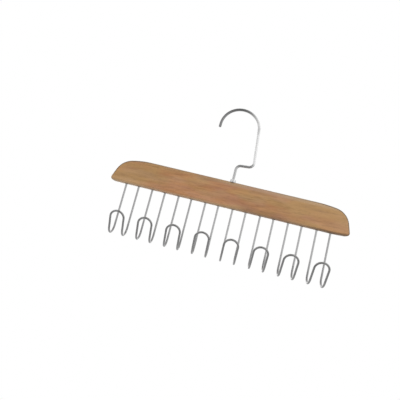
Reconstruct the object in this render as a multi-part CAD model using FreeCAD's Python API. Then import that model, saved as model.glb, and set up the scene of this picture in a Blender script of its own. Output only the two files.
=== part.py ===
import FreeCAD, Part
import math
import os

# Hanger for ties and belts, in millimetres: a wooden bar with rounded edges and sloping shoulders,
# a row of bent wire hooks pressed into its underside, and a cranked wire hook that swivels in a
# metal bush on its top edge. +X runs along the bar, +Z is up, and the tie hooks reach towards -Y.
# The origin is the point inside the swivel hook's arch that rests on a clothes rail.

# Wooden bar
TIP_TO_TIP = 302.0          # between the sharp tips of the outline, before their corners are rounded
BAR_HEIGHT = 32.8
BAR_THICKNESS = 12.0
BAR_EDGE_ROUND = 3.0        # round-over along the front and back outlines
TIP_LAND = 0.5              # how much larger a tip's corner radius is than the round-over

# Left end of the bar, which slopes further than the right one
LEFT_LEAN = 21.2            # degrees, lean of the end from upright
LEFT_SHOULDER_R = 24.0      # tight curve over the shoulder
LEFT_CREST_R = 105.0        # long curve from the shoulder to the straight top
LEFT_CREST_SLOPE = 13.6     # degrees, slope where the two curves meet
LEFT_TOE_LIFT = 2.0         # height of the tip above the underside
LEFT_TOE_RUN = 8.0          # length over which the underside rises to the tip

# Right end of the bar
RIGHT_LEAN = 15.0
RIGHT_SHOULDER_R = 21.5
RIGHT_CREST_R = 155.0
RIGHT_CREST_SLOPE = 8.7
RIGHT_TOE_LIFT = 1.4
RIGHT_TOE_RUN = 23.0

# Tie hooks, each bent from one length of wire
HOOK_COUNT = 8
HOOK_WIRE_D = 2.5
HOOK_WIDTH = 16.5           # between the centrelines of a hook's two legs
HOOK_END_MARGIN = 21.9      # from a tip of the bar to the nearest leg
HOOK_DROP = 63.8            # from the underside to the lowest point of the centreline
HOOK_BEND_R = 9.5           # centreline radius of the bend that carries the tie
HOOK_FLARE = 27.5           # degrees, lean of the front arch away from the legs
HOOK_FRONT_RUN = 15.3       # straight wire from the bend to the front arch
LEG_DEPTH = 14.0            # length of each leg inside the wood
LEG_FIT = 0.01              # radial room of a leg in its hole, a press fit
LEG_END_GAP = 0.6           # from the end of a leg to the full width of its hole's bottom
LEG_CHAMFER = 0.3
LEG_HOLE_MOUTH = 0.4        # countersink round the mouth of each leg's hole
DRILL_POINT = 118.0         # degrees, angle of the point that each drilled hole ends in

# Swivel hook, bent from one length of wire with an upset head at its foot
SWIVEL_WIRE_D = 3.5
SWIVEL_SIDE = 1.0           # from the middle of the bar to the swivel axis, towards the right end
STEM_RISE = 22.7            # from the top of the bar to the crank, on the swivel axis
CRANK_OFFSET = 20.8         # sideways, from the swivel axis to the foot of the upper stem
CRANK_BEND_R = 6.0          # centreline radius of both bends of the crank
SWIVEL_LEAN = 4.8           # degrees, lean of everything above the crank
UPPER_STEM = 48.9           # from the crank's corner to the start of the arch
RAIL_OPENING_D = 46.0       # inside diameter of the arch
ARCH_SWEEP = 173.0          # degrees
ARCH_TAIL = 5.0             # straight wire from the arch to the tip
SWIVEL_TIP_ROUND = 0.9
HEAD_HEIGHT = 1.8
HEAD_ROUND = 0.4

# Bush that the swivel hook turns in
SWIVEL_FIT = 0.08           # radial room of the wire in the bush
END_PLAY = 0.15             # between the bush and the head that it rests on
BUSH_WALL = 1.2             # wall of the barrel inside the wood
BUSH_BARREL_L = 14.0
BUSH_BARREL_CHAMFER = 0.5
BUSH_FIT = 0.01             # radial room of the barrel in the wood, a press fit
COLLAR_LIP = 0.8            # how far the collar stands out beyond the barrel
COLLAR_HEIGHT = 4.0
COLLAR_ROUND = 0.9
COLLAR_MOUTH = 0.4          # chamfer round the wire at the top of the collar
HEAD_SIDE_GAP = 0.4         # between the head and the wall of the hole below the bush
HEAD_END_GAP = 1.0          # between the head and the bottom of that hole

# Sizes that follow from those above
half_length = TIP_TO_TIP / 2
tip_round = BAR_EDGE_ROUND + TIP_LAND
hook_pitch = (TIP_TO_TIP - 2 * HOOK_END_MARGIN - HOOK_WIDTH) / (HOOK_COUNT - 1)
leg_hole_r = HOOK_WIRE_D / 2 + LEG_FIT
bush_bore_r = SWIVEL_WIRE_D / 2 + SWIVEL_FIT
bush_barrel_r = bush_bore_r + BUSH_WALL
collar_r = bush_barrel_r + COLLAR_LIP
head_r = bush_barrel_r - HEAD_SIDE_GAP
head_top = BAR_HEIGHT - BUSH_BARREL_L - END_PLAY
arch_r = RAIL_OPENING_D / 2 + SWIVEL_WIRE_D / 2

LEFT_END = (LEFT_LEAN, LEFT_SHOULDER_R, LEFT_CREST_R, LEFT_CREST_SLOPE, LEFT_TOE_LIFT, LEFT_TOE_RUN)
RIGHT_END = (RIGHT_LEAN, RIGHT_SHOULDER_R, RIGHT_CREST_R, RIGHT_CREST_SLOPE, RIGHT_TOE_LIFT, RIGHT_TOE_RUN)
X_AXIS = FreeCAD.Vector(1, 0, 0)
Y_AXIS = FreeCAD.Vector(0, 1, 0)
Z_AXIS = FreeCAD.Vector(0, 0, 1)
swivel_foot = X_AXIS * SWIVEL_SIDE      # where the swivel axis meets the level of the underside


def arc(start, middle, end):
    return Part.Arc(start, middle, end).toShape()


def end_outline(side, lean, shoulder_r, crest_r, crest_slope, toe_lift, toe_run):
    """Edges of one end of the bar's outline, from the straight top to the straight underside."""
    lean = math.radians(lean)
    crest_slope = math.radians(crest_slope)
    steepest = math.pi / 2 - lean
    shoulder_foot = (BAR_HEIGHT - crest_r * (1 - math.cos(crest_slope))
                     - shoulder_r * (math.cos(crest_slope) - math.cos(steepest)))
    end_in = (shoulder_foot - toe_lift) * math.tan(lean)
    crest_in = (end_in + shoulder_r * (math.sin(steepest) - math.sin(crest_slope))
                + crest_r * math.sin(crest_slope))
    toe_r = (toe_run ** 2 + toe_lift ** 2) / (2 * toe_lift)

    def at(inward, height):
        return FreeCAD.Vector(side * (half_length - inward), -BAR_THICKNESS / 2, height)

    def on_curve(centre, radius, slope):
        return at(centre[0] - radius * math.sin(slope), centre[1] + radius * math.cos(slope))

    crest_centre = (crest_in, BAR_HEIGHT - crest_r)
    step = crest_r - shoulder_r
    shoulder_centre = (crest_centre[0] - step * math.sin(crest_slope),
                       crest_centre[1] + step * math.cos(crest_slope))
    crest = [on_curve(crest_centre, crest_r, crest_slope * k / 2) for k in range(3)]
    shoulder = [on_curve(shoulder_centre, shoulder_r, crest_slope + (steepest - crest_slope) * k / 2)
                for k in range(3)]
    toe_turn = math.asin(toe_run / toe_r)
    tip = at(0, toe_lift)
    toe_middle = at(toe_run - toe_r * math.sin(toe_turn / 2), toe_r - toe_r * math.cos(toe_turn / 2))
    toe_end = at(toe_run, 0)
    edges = [arc(*crest), arc(crest[2], shoulder[1], shoulder[2]),
             Part.makeLine(shoulder[2], tip), arc(tip, toe_middle, toe_end)]
    return edges, crest[0], toe_end


def leg_places():
    """X of every tie hook's left and right leg."""
    first = -half_length + HOOK_END_MARGIN
    return [(first + k * hook_pitch, first + k * hook_pitch + HOOK_WIDTH) for k in range(HOOK_COUNT)]


def drilled_hole(radius, depth, mouth=0.0):
    """A hole drilled upwards from the origin, with a conical end and, where mouth is set, a countersink."""
    tip = radius / math.tan(math.radians(DRILL_POINT / 2))
    hole = Part.makeCylinder(radius, depth).fuse(
        Part.makeCone(radius, 0, tip, FreeCAD.Vector(0, 0, depth), Z_AXIS))
    if mouth:
        hole = hole.fuse(Part.makeCone(radius + mouth, radius, mouth))
    return hole


def make_bar():
    left, left_top, left_foot = end_outline(-1, *LEFT_END)
    right, right_top, right_foot = end_outline(1, *RIGHT_END)
    outline = left + right + [Part.makeLine(left_top, right_top), Part.makeLine(left_foot, right_foot)]
    face = Part.Face(Part.Wire(Part.sortEdges(outline)[0]))
    bar = face.extrude(Y_AXIS * BAR_THICKNESS)
    tips = [e for e in bar.Edges if abs(abs(e.CenterOfMass.x) - half_length) < 1e-6]
    bar = bar.makeFillet(tip_round, tips)
    rims = [e for e in bar.Edges if abs(abs(e.CenterOfMass.y) - BAR_THICKNESS / 2) < 1e-6]
    bar = bar.makeFillet(BAR_EDGE_ROUND, rims)
    leg_hole = drilled_hole(leg_hole_r, LEG_DEPTH + LEG_END_GAP, LEG_HOLE_MOUTH)
    holes = []
    for pair in leg_places():
        for x in pair:
            hole = leg_hole.copy()
            hole.translate(FreeCAD.Vector(x, 0, 0))
            holes.append(hole)
    bush_hole = drilled_hole(bush_barrel_r + BUSH_FIT, BUSH_BARREL_L + END_PLAY + HEAD_HEIGHT + HEAD_END_GAP)
    bush_hole.rotate(FreeCAD.Vector(), X_AXIS, 180)
    bush_hole.translate(swivel_foot + Z_AXIS * BAR_HEIGHT)
    holes.append(bush_hole)
    return bar.cut(holes)


def bend_wire(diameter, start, heading, steps):
    """A round wire fed along its heading and bent step by step: (length,) or (radius, degrees, axis)."""
    point = FreeCAD.Vector(start)
    way = FreeCAD.Vector(heading)
    edges = []
    for step in steps:
        if len(step) == 1:
            end = point + way * step[0]
            edges.append(Part.makeLine(point, end))
        else:
            radius, angle, axis = step
            centre = point + axis.cross(way) * radius
            spoke = point - centre
            half = FreeCAD.Rotation(axis, angle / 2)
            full = FreeCAD.Rotation(axis, angle)
            end = centre + full.multVec(spoke)
            edges.append(arc(point, centre + half.multVec(spoke), end))
            way = full.multVec(way)
        point = end
    section = Part.Face(Part.Wire(Part.makeCircle(diameter / 2, start, heading)))
    return Part.Wire(edges).makePipe(section), point


def end_rim(wire, place):
    """The circular edge round a wire's cut end."""
    return [e for e in wire.Edges if len(e.Vertexes) == 1 and e.CenterOfMass.distanceToPoint(place) < 1e-4]


def make_tie_hook(left, right):
    turn = 180 - HOOK_FLARE
    leg = LEG_DEPTH + HOOK_DROP - HOOK_BEND_R
    flare = math.radians(HOOK_FLARE)
    rising = FreeCAD.Vector(0, -math.sin(flare), math.cos(flare))
    start = FreeCAD.Vector(left, 0, LEG_DEPTH)
    steps = [(leg,), (HOOK_BEND_R, turn, -X_AXIS), (HOOK_FRONT_RUN,),
             ((right - left) / 2, 180, rising.cross(X_AXIS)),
             (HOOK_FRONT_RUN,), (HOOK_BEND_R, turn, X_AXIS), (leg,)]
    wire, end = bend_wire(HOOK_WIRE_D, start, -Z_AXIS, steps)
    return wire.makeChamfer(LEG_CHAMFER, end_rim(wire, start) + end_rim(wire, end))


def crank_corners():
    """Where the centrelines of the stem, the crank and the upper stem would meet without bends."""
    lower = swivel_foot + Z_AXIS * (BAR_HEIGHT + STEM_RISE)
    rise = CRANK_OFFSET * math.tan(math.radians(SWIVEL_LEAN))
    return lower, lower + FreeCAD.Vector(CRANK_OFFSET, 0, rise)


def make_swivel_hook():
    lower, upper = crank_corners()
    first_turn = 90 - SWIVEL_LEAN
    first_cut = CRANK_BEND_R * math.tan(math.radians(first_turn / 2))
    foot = swivel_foot + Z_AXIS * (head_top - HEAD_HEIGHT)
    steps = [(lower.z - foot.z - first_cut,), (CRANK_BEND_R, first_turn, Y_AXIS),
             (lower.distanceToPoint(upper) - first_cut - CRANK_BEND_R,),
             (CRANK_BEND_R, 90, -Y_AXIS), (UPPER_STEM - CRANK_BEND_R,),
             (arch_r, ARCH_SWEEP, -Y_AXIS), (ARCH_TAIL,)]
    wire, tip = bend_wire(SWIVEL_WIRE_D, foot, Z_AXIS, steps)
    wire = wire.makeFillet(SWIVEL_TIP_ROUND, end_rim(wire, tip))
    head = Part.makeCylinder(head_r, HEAD_HEIGHT, foot, Z_AXIS)
    head = head.makeFillet(HEAD_ROUND, [e for e in head.Edges if len(e.Vertexes) == 1])
    return wire.fuse(head).removeSplitter()


def make_bush():
    """Collar on the wood and barrel in it, turned in one piece."""
    top = BAR_HEIGHT + COLLAR_HEIGHT
    foot = BAR_HEIGHT - BUSH_BARREL_L
    slant = math.sqrt(0.5)

    def at(radius, height):
        return swivel_foot + FreeCAD.Vector(radius, 0, height)

    bore_foot = at(bush_bore_r, foot)
    chamfer_in = at(bush_barrel_r - BUSH_BARREL_CHAMFER, foot)
    chamfer_out = at(bush_barrel_r, foot + BUSH_BARREL_CHAMFER)
    seat_in = at(bush_barrel_r, BAR_HEIGHT)
    seat_out = at(collar_r, BAR_HEIGHT)
    round_low = at(collar_r, top - COLLAR_ROUND)
    round_high = at(collar_r - COLLAR_ROUND, top)
    corner_cut = COLLAR_ROUND * (1 - slant)
    round_middle = at(collar_r - corner_cut, top - corner_cut)
    mouth_out = at(bush_bore_r + COLLAR_MOUTH, top)
    mouth_in = at(bush_bore_r, top - COLLAR_MOUTH)
    corners = [round_high, mouth_out, mouth_in, bore_foot, chamfer_in, chamfer_out,
               seat_in, seat_out, round_low]
    edges = [Part.makeLine(a, b) for a, b in zip(corners, corners[1:])]
    edges.append(arc(round_low, round_middle, round_high))
    return Part.Face(Part.Wire(edges)).revolve(swivel_foot, Z_AXIS, 360)


def rail_seat():
    """The highest point inside the arch."""
    lean = math.radians(SWIVEL_LEAN)
    arch_start = crank_corners()[1] + FreeCAD.Vector(-math.sin(lean), 0, math.cos(lean)) * UPPER_STEM
    arch_centre = arch_start - FreeCAD.Vector(math.cos(lean), 0, math.sin(lean)) * arch_r
    return arch_centre + Z_AXIS * (RAIL_OPENING_D / 2)


pieces = {"bar": make_bar(), "hook_bush": make_bush(), "swivel_hook": make_swivel_hook()}
for number, (left_leg, right_leg) in enumerate(leg_places(), 1):
    pieces["tie_hook_%d" % number] = make_tie_hook(left_leg, right_leg)

os.makedirs("parts", exist_ok=True)
for name, shape in pieces.items():
    shape.translate(-rail_seat())
    shape.exportStep(os.path.join("parts", name + ".step"))
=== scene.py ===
import math
from collections import namedtuple

import bpy
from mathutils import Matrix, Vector

# Tie and belt hanger: a lacquered wooden bar, eight plated tie hooks and a wire hook that swivels.
# Blender's lengths are in metres. Patterns are laid out in millimetres from the rail seat.

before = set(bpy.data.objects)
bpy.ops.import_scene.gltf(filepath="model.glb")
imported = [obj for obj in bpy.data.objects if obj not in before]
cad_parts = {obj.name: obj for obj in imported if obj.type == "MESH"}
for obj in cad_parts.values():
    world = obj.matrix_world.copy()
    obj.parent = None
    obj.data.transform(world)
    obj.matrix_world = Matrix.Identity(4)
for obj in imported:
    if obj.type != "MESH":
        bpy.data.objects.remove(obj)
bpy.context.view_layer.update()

# The bar and what is set into it.
BAR_MIDDLE_X = 6.955
SWIVEL_X = 7.955
UNDERSIDE_Z = -126.904
TOP_Z = -94.104
BAR_FACE_Y = 6.0            # the front and back faces lie this far from the bar's middle
FIRST_LEG = -129.1          # from the bar's middle to the leg furthest left
HOOK_PITCH = 34.529
HOOK_WIDTH = 16.5           # between a tie hook's two legs

# How the board was cut: its place in the grain, the grain's slope along it, and its growth rings.
GRAIN_ALONG = 878.0
GRAIN_UP = 138.0
GRAIN_SLOPE = 0.05
PITH_Y = 58.0
PITH_UP = 4.0               # above the underside
RING_WIDTH = 1.6
RING_WANDER = 17.0
RING_RIPPLE = 1.6
RING_SHARPNESS = 1.6

# Noises: repeats per millimetre along, through and up, detail, roughness, and where each starts to show
# and shows in full.
Noise = namedtuple("Noise", "per_mm detail roughness start full", defaults=(0.0, 1.0))
WANDER = Noise((0.011, 0.05, 0.05), 2.0, 0.55)
RIPPLE = Noise((0.03, 0.16, 0.16), 2.0, 0.5)
STREAKS = Noise((0.028, 0.26, 0.26), 3.0, 0.6, 0.34, 0.66)
FIBRES = Noise((0.035, 1.6, 1.6), 3.0, 0.65, 0.3, 0.7)
DASHES = Noise((0.060, 0.42, 0.42), 2.0, 0.5, 0.56, 0.70)
FLECKS = Noise((0.16, 1.50, 1.50), 2.0, 0.5, 0.56, 0.70)
PORES = Noise((0.40, 4.5, 4.5), 1.0, 0.4, 0.60, 0.74)
CLOUDS = Noise((0.024, 0.075, 0.075), 2.0, 0.5, 0.36, 0.64)
HAZE = Noise((0.033, 0.12, 0.12), 2.0, 0.5, 0.40, 0.66)
MOTTLE = Noise((0.9, 0.9, 0.9), 3.0, 0.6, 0.4, 0.7)
SCUFFS = Noise((6.0, 6.0, 1.2), 2.0, 0.5)

# Stretches along the bar over which something comes in, from the bar's middle.
TO_TIPS = (70.0, 135.0)
TO_PAINTED_LIGHT_RIGHT = (30.0, 85.0)
TO_END_GRAIN = (92.0, 125.0)
TO_SHOULDERS = (0.0, 65.0)
TO_LOW_SHADE = (-30.0, 60.0)
STREAK_BEGINS = (8.0, 32.0)
STREAK_ENDS = (80.0, 56.0)
TO_PALE_CORNER = (-70.0, -118.0)
TOP_HIGHLIGHT_A_LITTLE = (-100.0, -70.0)
TOP_HIGHLIGHT_MORE = (-32.0, 6.0)

# Bands up the bar and through its thickness.
TO_LOWER_EDGE = (UNDERSIDE_Z + 12.0, UNDERSIDE_Z + 5.0)
LOW_BAND_TOP = (UNDERSIDE_Z + 9.0, UNDERSIDE_Z + 4.5)
LOW_BAND_FOOT = (UNDERSIDE_Z, UNDERSIDE_Z + 3.5)
TO_UPPER_EDGE = (TOP_Z - 6.5, TOP_Z - 3.0)
EDGE_MIDDLE_TO_ROUND = (1.5, 3.5)
ROUND_TO_FACE = (BAR_FACE_Y - 0.5, BAR_FACE_Y - 0.03)

# Painted shadows round the legs and the collar.
MOUTH_REACH = (1.5, 4.2)
MOUTH_RISE = (UNDERSIDE_Z, UNDERSIDE_Z + 1.2)
SEAT_REACH = (4.9, 7.2)
SEAT_RISE = (TOP_Z - 3.0, TOP_Z - 1.2)
SEAT_NARROWING = 1.25       # the mark is shorter along the bar than through it

# The wood's own colours, and the share of each pattern in them.
PALE_WOOD = (0.700, 0.392, 0.194, 1.0)
DARK_WOOD = (0.258, 0.110, 0.043, 1.0)
RING_SHARE = 0.28
STREAK_SHARE = 0.52
FIBRE_SHARE = 0.26
OLIVE_TINT = (0.441, 0.294, 0.108, 1.0)
RED_TINT = (0.516, 0.186, 0.100, 1.0)
TINT_SHARE = 0.42
AMBER_HAZE = (0.476, 0.244, 0.064, 1.0)
ROSE_HAZE = (0.444, 0.258, 0.152, 1.0)
HAZE_SHARE = 0.30
FLECK_BROWN = (0.190, 0.082, 0.030, 1.0)
FLECK_SHARE = 0.30
PORE_SHARE = 0.22

# Stains, painted light and painted shade over the wood: the share that each takes where it is strongest,
# and its colour.
StainOrPaintedLight = namedtuple("StainOrPaintedLight", "share colour")
TIP_WOOD = StainOrPaintedLight(0.30, (0.520, 0.306, 0.120, 1.0))
# Painted light, lighter towards the right end, on the key lamp's side.
PAINTED_LIGHT_RIGHT = StainOrPaintedLight(0.16, (0.640, 0.400, 0.200, 1.0))
DASH_BROWN = StainOrPaintedLight(0.22, (0.215, 0.100, 0.042, 1.0))
STREAK_BROWN = StainOrPaintedLight(0.34, (0.170, 0.088, 0.040, 1.0))
# Painted rim light low on the face towards the left end.
PAINTED_CORNER_LIGHT = StainOrPaintedLight(0.28, (0.680, 0.430, 0.240, 1.0))
# Painted highlight along the top of the faces.
PAINTED_TOP_HIGHLIGHT = StainOrPaintedLight(0.26, (0.560, 0.430, 0.300, 1.0))
TOP_HIGHLIGHT_A_LITTLE_SHARE = 0.10 / PAINTED_TOP_HIGHLIGHT.share
# Painted rim light on the lower rounds where the painted shade is weak, towards the left.
PAINTED_ROUND_LIGHT = StainOrPaintedLight(0.40, (0.640, 0.500, 0.350, 1.0))
# Painted shade on the rounded edges; towards the ends it also holds the end grain's own darkness.
EDGE_SHADE = StainOrPaintedLight(0.46, (0.215, 0.170, 0.126, 1.0))
END_GRAIN_AND_SHADE = StainOrPaintedLight(0.76, (0.100, 0.072, 0.048, 1.0))
# Painted shadow where each leg enters the wood.
MOUTH_SHADOW = StainOrPaintedLight(0.85, (0.060, 0.034, 0.018, 1.0))
# Painted shadow under the collar.
COLLAR_SHADOW = StainOrPaintedLight(0.85, (0.070, 0.040, 0.022, 1.0))
STREAK_BETWEEN_FIBRES = 0.5
TOP_MIDDLE_SHADED = 0.45   # the shoulders' top takes the painted shade in full
LOW_RIGHT_SHADED = 0.82
EDGE_MIDDLE_SHADED = 0.6   # the rounds take the painted shade in full

# Lacquer.
WOOD_ROUGHNESS = 0.42
FIBRE_ROUGHNESS = 0.16
MOUTH_ROUGHNESS = 0.2
LACQUER_COAT = 0.10
LACQUER_ROUGHNESS = 0.3
LACQUER_SHEEN = 0.3
FIBRE_RISE = 0.6
PORE_DEPTH = 0.8
FLECK_DEPTH = 0.3
GRAIN_RELIEF = (0.14, 0.0003)   # strength, and height in metres

# Plating: where a piece is bright or dull, which on the wires is painted reflection, how bright and dull
# it is, and its tarnish.
# The tie wires' painted reflection: dark on the loops and bends, brighter on the legs, most so right of
# the middle.
LOOP_TO_LEG_Y = (-14.0, -1.0)
BEND_TO_LEG_Z = (-186.0, -168.0)
LEGS_BRIGHTEN_X = (-45.0, 15.0)
LEGS_DIM_X = (150.0, 110.0)
LEG_REFLECTION = 0.6
RIGHT_LEG_REFLECTION = 0.96
# The swivel hook's painted reflection: dark on the arch, bright on the upper stem, between on the crank.
ARCH_X = (-4.0, 31.0)
ARCH_TO_STEM_Z = (-21.0, -28.0)
STEM_SIDE_X = (0.0, 10.0)   # the arch's tip hangs as low on the other side
# A painted dip in the reflection at the top of the stem.
REFLECTION_DIP_TOP_Z = (-14.0, -19.0)
REFLECTION_DIP_FOOT_Z = (-27.0, -22.0)
REFLECTION_DIP_SIDE_X = (10.0, 20.0)
REFLECTION_DIP_LOSS = 0.27
STEM_TO_CRANK_Z = (-64.0, -69.0)
CRANK_TO_FOOT_Z = (-72.5, -78.5)
CRANK_REFLECTION = 0.440
FOOT_REFLECTION = 0.485
BARREL_TO_COLLAR_Z = (-94.0, -90.5)
TIE_WIRE_GREYS = (0.45, 0.29)
HOOK_WIRE_GREYS = (0.69, 0.228)
BUSH_GREYS = (0.68, 0.50)
TARNISH = StainOrPaintedLight(0.12, (0.20, 0.195, 0.185, 1.0))
WIRE_ROUGHNESS = 0.24
WIRE_ROUGHNESS_CHANGE = 0.06
SCUFF_RELIEF = (0.05, 0.0001)   # strength, and height in metres

# Studio, in metres, watts and degrees.
AIM = (0.008, 0.0, -0.10)
Lamp = namedtuple("Lamp", "place size watts")
LAMPS = {
    "key": Lamp((1.15, -1.15, 0.50), 3.0, 18.5),
    "fill": Lamp((-1.05, -1.30, 0.20), 1.8, 6.5),
    "overhead": Lamp((0.25, 0.25, 1.40), 1.5, 2.5),
    "back": Lamp((-0.40, 1.45, 0.35), 1.8, 7.0),
}
AMBIENT = 0.45
TO_NEAR_SIDE = (0.05, -0.7)     # how far towards the viewer a reflection looks
NEAR_SIDE_LOSS = 0.68
FLOOR_Z = -0.62
FLOOR_RADIUS = 0.38
FLOOR_CORNERS = 96
FLOOR_FADE = (171.0, 376.2)     # millimetres from its middle
FLOOR_GREY = 0.82
FLOOR_VEIL = 0.58               # share of plain white over the floor's own shade, in its middle
CAMERA_PLACE = (0.01814, -0.42978, -0.18399)
CAMERA_TURN = (98.0194, -14.3885, 3.8645)
CAMERA_LENS = 31.5
CAMERA_SENSOR = 36.0
CAMERA_NEAREST = 0.01


class Value:
    """One output of a shader node. Arithmetic on it adds Math nodes."""

    def __init__(self, finish, socket):
        self.finish = finish
        self.socket = socket

    def __add__(self, other):
        return self.finish.maths("ADD", self, other)

    def __radd__(self, other):
        return self.finish.maths("ADD", other, self)

    def __sub__(self, other):
        return self.finish.maths("SUBTRACT", self, other)

    def __rsub__(self, other):
        return self.finish.maths("SUBTRACT", other, self)

    def __mul__(self, other):
        return self.finish.maths("MULTIPLY", self, other)

    def __rmul__(self, other):
        return self.finish.maths("MULTIPLY", other, self)

    def __truediv__(self, other):
        return self.finish.maths("DIVIDE", self, other)

    def __pow__(self, other):
        return self.finish.maths("POWER", self, other)


class Finish:
    """A node tree under construction: a material's or the world's."""

    def __init__(self, owner):
        owner.use_nodes = True
        self.tree = owner.node_tree
        self.tree.nodes.clear()

    def node(self, kind, settings, inputs, output=0):
        made = self.tree.nodes.new(kind)
        for key, value in settings.items():
            setattr(made, key, value)
        for key, value in inputs.items():
            if isinstance(value, Value):
                self.tree.links.new(value.socket, made.inputs[key])
            else:
                made.inputs[key].default_value = value
        return Value(self, made.outputs[output]) if made.outputs else made

    def maths(self, operation, first, second=0.0):
        return self.node("ShaderNodeMath", {"operation": operation}, {0: first, 1: second})

    def bumps(self, relief, height):
        strength, metres = relief
        return self.node("ShaderNodeBump", {}, {
            "Strength": strength, "Distance": metres, "Height": height})

    def size_of(self, value):
        return self.maths("ABSOLUTE", value)

    def larger(self, first, second):
        return self.maths("MAXIMUM", first, second)

    def smaller(self, first, second):
        return self.maths("MINIMUM", first, second)

    def distance(self, first, second):
        return (first * first + second * second) ** 0.5

    def millimetres(self):
        place = self.node("ShaderNodeTexCoord", {}, {}, "Object")
        return self.node("ShaderNodeVectorMath", {"operation": "SCALE"}, {0: place, "Scale": 1000.0})

    def axes(self, place):
        split = self.node("ShaderNodeSeparateXYZ", {}, {0: place}).socket.node
        return [Value(self, out) for out in split.outputs]

    def noise(self, place, noise):
        spot = self.node("ShaderNodeVectorMath", {"operation": "MULTIPLY"}, {0: place, 1: noise.per_mm})
        return self.node("ShaderNodeTexNoise", {}, {
            "Vector": spot, "Scale": 1.0, "Detail": noise.detail, "Roughness": noise.roughness})

    def ease(self, value, stretch):
        """0 before the stretch of values, 1 after it, and smooth between."""
        start, end = stretch
        return self.node("ShaderNodeMapRange", {"interpolation_type": "SMOOTHSTEP"}, {
            "Value": value, "From Min": start, "From Max": end})

    def shown(self, value, noise):
        return self.ease(value, (noise.start, noise.full))

    def mix(self, share, first, second):
        return self.node("ShaderNodeMix", {"data_type": "RGBA"}, {0: share, 6: first, 7: second}, 2)

    def lay(self, overlay, where, colour):
        """The colour with a stain, painted light or painted shade over it, where the second value is above
        0.
        """
        return self.mix(overlay.share * where, colour, overlay.colour)

    def mirrored(self):
        """1 for what is seen as a reflection."""
        return self.node("ShaderNodeLightPath", {}, {}, "Is Glossy Ray")

    def seen(self):
        """1 for what the camera sees, by itself, mirrored or through something clear."""
        straight = self.node("ShaderNodeLightPath", {}, {}, "Is Camera Ray")
        through = self.node("ShaderNodeLightPath", {}, {}, "Is Transmission Ray")
        return self.larger(self.larger(straight, self.mirrored()), through)

    def surface(self, shader):
        self.node("ShaderNodeOutputMaterial", {}, {"Surface": shader})


def grey(level):
    return (level, level, level, 1.0)


def growth_rings(wood, grain, y, up):
    """From 0 to 1 and back over the rings round a pith that lies behind the board."""
    reach = wood.distance(y - PITH_Y, up - PITH_UP)
    reach = reach + RING_WANDER * wood.noise(grain, WANDER) + RING_RIPPLE * wood.noise(grain, RIPPLE)
    return wood.maths("PINGPONG", reach, RING_WIDTH) / RING_WIDTH


def leg_mouths(wood, along, y, z):
    """1 on the underside close round each leg, for a painted shadow where the leg enters the wood, and 0
    elsewhere.
    """
    step = wood.maths("FLOORED_MODULO", along - FIRST_LEG, HOOK_PITCH)
    left_leg = wood.smaller(step, HOOK_PITCH - step)
    right_leg = wood.size_of(step - HOOK_WIDTH)
    reach = wood.distance(wood.smaller(left_leg, right_leg), y)
    return (1.0 - wood.ease(reach, MOUTH_REACH)) * (1.0 - wood.ease(z, MOUTH_RISE))


def collar_seat(wood, x, y, z):
    """1 on the top edge close round the bush's collar, for a painted shadow under it, and 0 elsewhere."""
    reach = wood.distance(SEAT_NARROWING * (x - SWIVEL_X), y)
    return (1.0 - wood.ease(reach, SEAT_REACH)) * wood.ease(z, SEAT_RISE)


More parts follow.
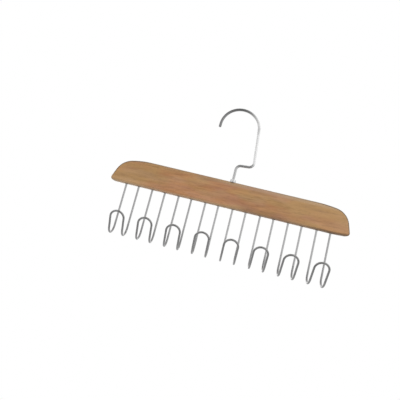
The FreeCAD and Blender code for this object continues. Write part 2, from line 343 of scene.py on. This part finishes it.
def lacquered_wood():
    """Flat sawn wood under thin satin lacquer.

    It has slow rings, streaks, fine fibres, dashes, flecks and pores, and its tint drifts along the board.
    The faces carry a painted highlight along the top and painted light towards the right end.
    The rounds carry painted shade, with painted rim light low on the left, and painted shadows sit round
    the legs and the collar. The ends, which cut the grain, are darkest, from end grain and painted shade.
    """
    material = bpy.data.materials.new("lacquered_wood")
    wood = Finish(material)
    x, y, z = wood.axes(wood.millimetres())
    along = x - BAR_MIDDLE_X
    from_middle = wood.size_of(along)
    up = z - UNDERSIDE_Z - GRAIN_SLOPE * along
    grain = wood.node("ShaderNodeCombineXYZ", {}, {0: along + GRAIN_ALONG, 1: y, 2: up + GRAIN_UP})

    ring = growth_rings(wood, grain, y, up)
    streak = wood.shown(wood.noise(grain, STREAKS), STREAKS)
    fibre = wood.noise(grain, FIBRES)
    dash = wood.shown(wood.noise(grain, DASHES), DASHES)
    fleck = wood.shown(wood.noise(grain, FLECKS), FLECKS)
    pore = wood.shown(wood.noise(grain, PORES), PORES)
    cloud = wood.shown(wood.noise(grain, CLOUDS), CLOUDS)
    haze = wood.shown(wood.noise(grain, HAZE), HAZE)
    darkness = RING_SHARE * ring ** RING_SHARPNESS + STREAK_SHARE * streak
    darkness = darkness + FIBRE_SHARE * wood.shown(fibre, FIBRES)
    colour = wood.mix(darkness, PALE_WOOD, DARK_WOOD)
    colour = wood.mix(TINT_SHARE, colour, wood.mix(cloud, OLIVE_TINT, RED_TINT))
    colour = wood.mix(HAZE_SHARE, colour, wood.mix(haze, AMBER_HAZE, ROSE_HAZE))
    colour = wood.lay(TIP_WOOD, wood.ease(from_middle, TO_TIPS), colour)
    # Painted light towards the right end.
    colour = wood.lay(PAINTED_LIGHT_RIGHT, wood.ease(along, TO_PAINTED_LIGHT_RIGHT), colour)
    colour = wood.lay(DASH_BROWN, dash, colour)
    colour = wood.mix(FLECK_SHARE * fleck + PORE_SHARE * pore, colour, FLECK_BROWN)

    low_band = wood.ease(z, LOW_BAND_TOP) * wood.ease(z, LOW_BAND_FOOT)
    dark_streak = wood.ease(along, STREAK_BEGINS) * wood.ease(along, STREAK_ENDS) * low_band
    colour = wood.lay(STREAK_BROWN, dark_streak * (STREAK_BETWEEN_FIBRES + fibre), colour)
    # Painted rim light low on the face towards the left end.
    colour = wood.lay(PAINTED_CORNER_LIGHT, wood.ease(along, TO_PALE_CORNER) * low_band, colour)
    # Painted highlight along the top, faint on the left and full from the middle rightwards.
    top_highlight = TOP_HIGHLIGHT_A_LITTLE_SHARE * wood.ease(along, TOP_HIGHLIGHT_A_LITTLE) + wood.ease(along, TOP_HIGHLIGHT_MORE)
    colour = wood.lay(PAINTED_TOP_HIGHLIGHT, wood.ease(z, TO_UPPER_EDGE) * top_highlight, colour)

    # Painted shade on the rounds and edge middles, strongest on the shoulders' top and the lower right,
    # darkest at the ends, where end grain is darker too.
    aside = wood.size_of(y)
    end = wood.ease(from_middle, TO_END_GRAIN)
    evenly = wood.larger(wood.ease(aside, EDGE_MIDDLE_TO_ROUND), end)
    rim = EDGE_MIDDLE_SHADED + (1.0 - EDGE_MIDDLE_SHADED) * evenly
    rim = rim * (1.0 - wood.ease(aside, ROUND_TO_FACE))
    low = wood.ease(z, TO_LOWER_EDGE)
    top_shaded = TOP_MIDDLE_SHADED + (1.0 - TOP_MIDDLE_SHADED) * wood.ease(from_middle, TO_SHOULDERS)
    shaded = top_shaded + low * (LOW_RIGHT_SHADED * wood.ease(along, TO_LOW_SHADE) - top_shaded)
    # Painted rim light on the lower rounds, where the painted shade is weak.
    colour = wood.lay(PAINTED_ROUND_LIGHT, rim * low * (1.0 - shaded), colour)
    shade_share = EDGE_SHADE.share + (END_GRAIN_AND_SHADE.share - EDGE_SHADE.share) * end
    shade_colour = wood.mix(end, EDGE_SHADE.colour, END_GRAIN_AND_SHADE.colour)
    colour = wood.mix(rim * shaded * shade_share, colour, shade_colour)
    mouth = leg_mouths(wood, along, y, z)
    # Painted shadows where the legs enter the wood.
    colour = wood.lay(MOUTH_SHADOW, mouth, colour)
    # Painted shadow under the collar.
    colour = wood.lay(COLLAR_SHADOW, collar_seat(wood, x, y, z), colour)

    height = FIBRE_RISE * fibre - PORE_DEPTH * pore - FLECK_DEPTH * fleck
    wood.surface(wood.node("ShaderNodeBsdfPrincipled", {}, {
        "Base Color": colour,
        "Roughness": WOOD_ROUGHNESS + FIBRE_ROUGHNESS * fibre + MOUTH_ROUGHNESS * mouth,
        "Specular IOR Level": LACQUER_SHEEN,
        "Coat Weight": LACQUER_COAT * (1.0 - rim),
        "Coat Roughness": LACQUER_ROUGHNESS,
        "Normal": wood.bumps(GRAIN_RELIEF, height)}))
    return material


def plated_wire(name, greys, polish_and_reflection_of):
    """Plated steel, a little mottled, bright where its polish and painted reflection near 1 and dull near
    0.
    """
    bright, dull = greys
    material = bpy.data.materials.new(name)
    metal = Finish(material)
    place = metal.millimetres()
    x, y, z = metal.axes(place)
    mottle = metal.noise(place, MOTTLE)
    polish_and_reflection = polish_and_reflection_of(metal, x, y, z)
    colour = metal.mix(polish_and_reflection, grey(dull), grey(bright))
    colour = metal.lay(TARNISH, metal.shown(mottle, MOTTLE), colour)
    metal.surface(metal.node("ShaderNodeBsdfPrincipled", {}, {
        "Base Color": colour,
        "Metallic": 1.0,
        "Roughness": WIRE_ROUGHNESS + WIRE_ROUGHNESS_CHANGE * (mottle - polish_and_reflection),
        "Normal": metal.bumps(SCUFF_RELIEF, metal.noise(place, SCUFFS))}))
    return material


def leg_painted_reflection(metal, x, y, z):
    """Painted reflection: bright on the legs, most so right of the middle, and dark on the bends and
    loops.
    """
    brighter = metal.ease(x, LEGS_BRIGHTEN_X) * metal.ease(x, LEGS_DIM_X)
    leg = metal.ease(y, LOOP_TO_LEG_Y) * metal.ease(z, BEND_TO_LEG_Z)
    return leg * (LEG_REFLECTION + (RIGHT_LEG_REFLECTION - LEG_REFLECTION) * brighter)


def stem_painted_reflection(metal, x, y, z):
    """Painted reflection: bright on the upper stem, dark on the arch, between on the crank.

    The top of the stem has a painted dip in its reflection, a little darker.
    """
    stem = metal.ease(z, ARCH_TO_STEM_Z) * metal.ease(x, STEM_SIDE_X)
    reflection_dip = metal.ease(z, REFLECTION_DIP_FOOT_Z) * metal.ease(z, REFLECTION_DIP_TOP_Z) * metal.ease(x, REFLECTION_DIP_SIDE_X)
    upper = metal.larger(metal.ease(x, ARCH_X), stem) * (1.0 - REFLECTION_DIP_LOSS * reflection_dip)
    crank = metal.ease(z, STEM_TO_CRANK_Z)
    lower = CRANK_REFLECTION + (FOOT_REFLECTION - CRANK_REFLECTION) * metal.ease(z, CRANK_TO_FOOT_Z)
    return upper * (1.0 - crank) + crank * lower


def collar_polish(metal, x, y, z):
    """Bright on the collar that shows, dull on the barrel in the wood."""
    return metal.ease(z, BARREL_TO_COLLAR_Z)


def studio_world():
    """White to the eye and behind the metal, dimmer on the viewer's side, and a plain level of light."""
    world = bpy.data.worlds.new("studio")
    bpy.context.scene.world = world
    sky = Finish(world)
    away = sky.axes(sky.node("ShaderNodeTexCoord", {}, {}, "Generated"))[1]
    near_side = sky.mirrored() * sky.ease(away, TO_NEAR_SIDE)
    backdrop = sky.node("ShaderNodeBackground", {}, {
        "Color": grey(1.0),
        "Strength": AMBIENT + (1.0 - AMBIENT) * sky.seen() - NEAR_SIDE_LOSS * near_side})
    sky.node("ShaderNodeOutputWorld", {}, {"Surface": backdrop})


def studio_floor():
    """A plain pale floor under the hanger, below the photograph's view, fading to white at its rim."""
    bpy.ops.object.select_all(action="DESELECT")
    bpy.ops.mesh.primitive_circle_add(
        vertices=FLOOR_CORNERS, radius=FLOOR_RADIUS, fill_type="NGON", location=(0.0, 0.0, FLOOR_Z))
    floor = bpy.context.object
    floor.name = "floor"
    material = bpy.data.materials.new("pale_floor")
    paint = Finish(material)
    x, y, z = paint.axes(paint.millimetres())
    fade = paint.ease(paint.distance(x, y), FLOOR_FADE)
    paint.surface(paint.node("ShaderNodeMixShader", {}, {
        0: paint.seen() * (FLOOR_VEIL + (1.0 - FLOOR_VEIL) * fade),
        1: paint.node("ShaderNodeBsdfDiffuse", {}, {"Color": grey(FLOOR_GREY)}),
        2: paint.node("ShaderNodeEmission", {}, {"Color": grey(1.0), "Strength": 1.0})}))
    floor.data.materials.append(material)


def soft_lamp(name, lamp):
    data = bpy.data.lights.new(name, "AREA")
    data.shape = "DISK"
    data.size = lamp.size
    data.energy = lamp.watts
    stand = bpy.data.objects.new(name, data)
    bpy.context.collection.objects.link(stand)
    stand.location = lamp.place
    way = Vector(AIM) - Vector(lamp.place)
    stand.rotation_euler = way.to_track_quat("-Z", "Y").to_euler()


def photo_camera():
    data = bpy.data.cameras.new("photo")
    data.sensor_width = CAMERA_SENSOR
    data.lens = CAMERA_LENS
    data.clip_start = CAMERA_NEAREST
    camera = bpy.data.objects.new("photo", data)
    bpy.context.collection.objects.link(camera)
    camera.location = CAMERA_PLACE
    camera.rotation_euler = [math.radians(angle) for angle in CAMERA_TURN]
    bpy.context.scene.camera = camera


def dress(node, material):
    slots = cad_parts[node].data.materials
    for index in range(len(slots)):
        slots[index] = material


dress("bar", lacquered_wood())
dress("hook_bush", plated_wire("plated_bush", BUSH_GREYS, collar_polish))
dress("swivel_hook", plated_wire("plated_hook_wire", HOOK_WIRE_GREYS, stem_painted_reflection))
tie_wire = plated_wire("plated_tie_wire", TIE_WIRE_GREYS, leg_painted_reflection)
for node_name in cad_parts:
    if node_name.startswith("tie_hook"):
        dress(node_name, tie_wire)

studio_world()
studio_floor()
for lamp_name, lamp in LAMPS.items():
    soft_lamp(lamp_name, lamp)
photo_camera()
bpy.context.scene.view_settings.view_transform = "Standard"
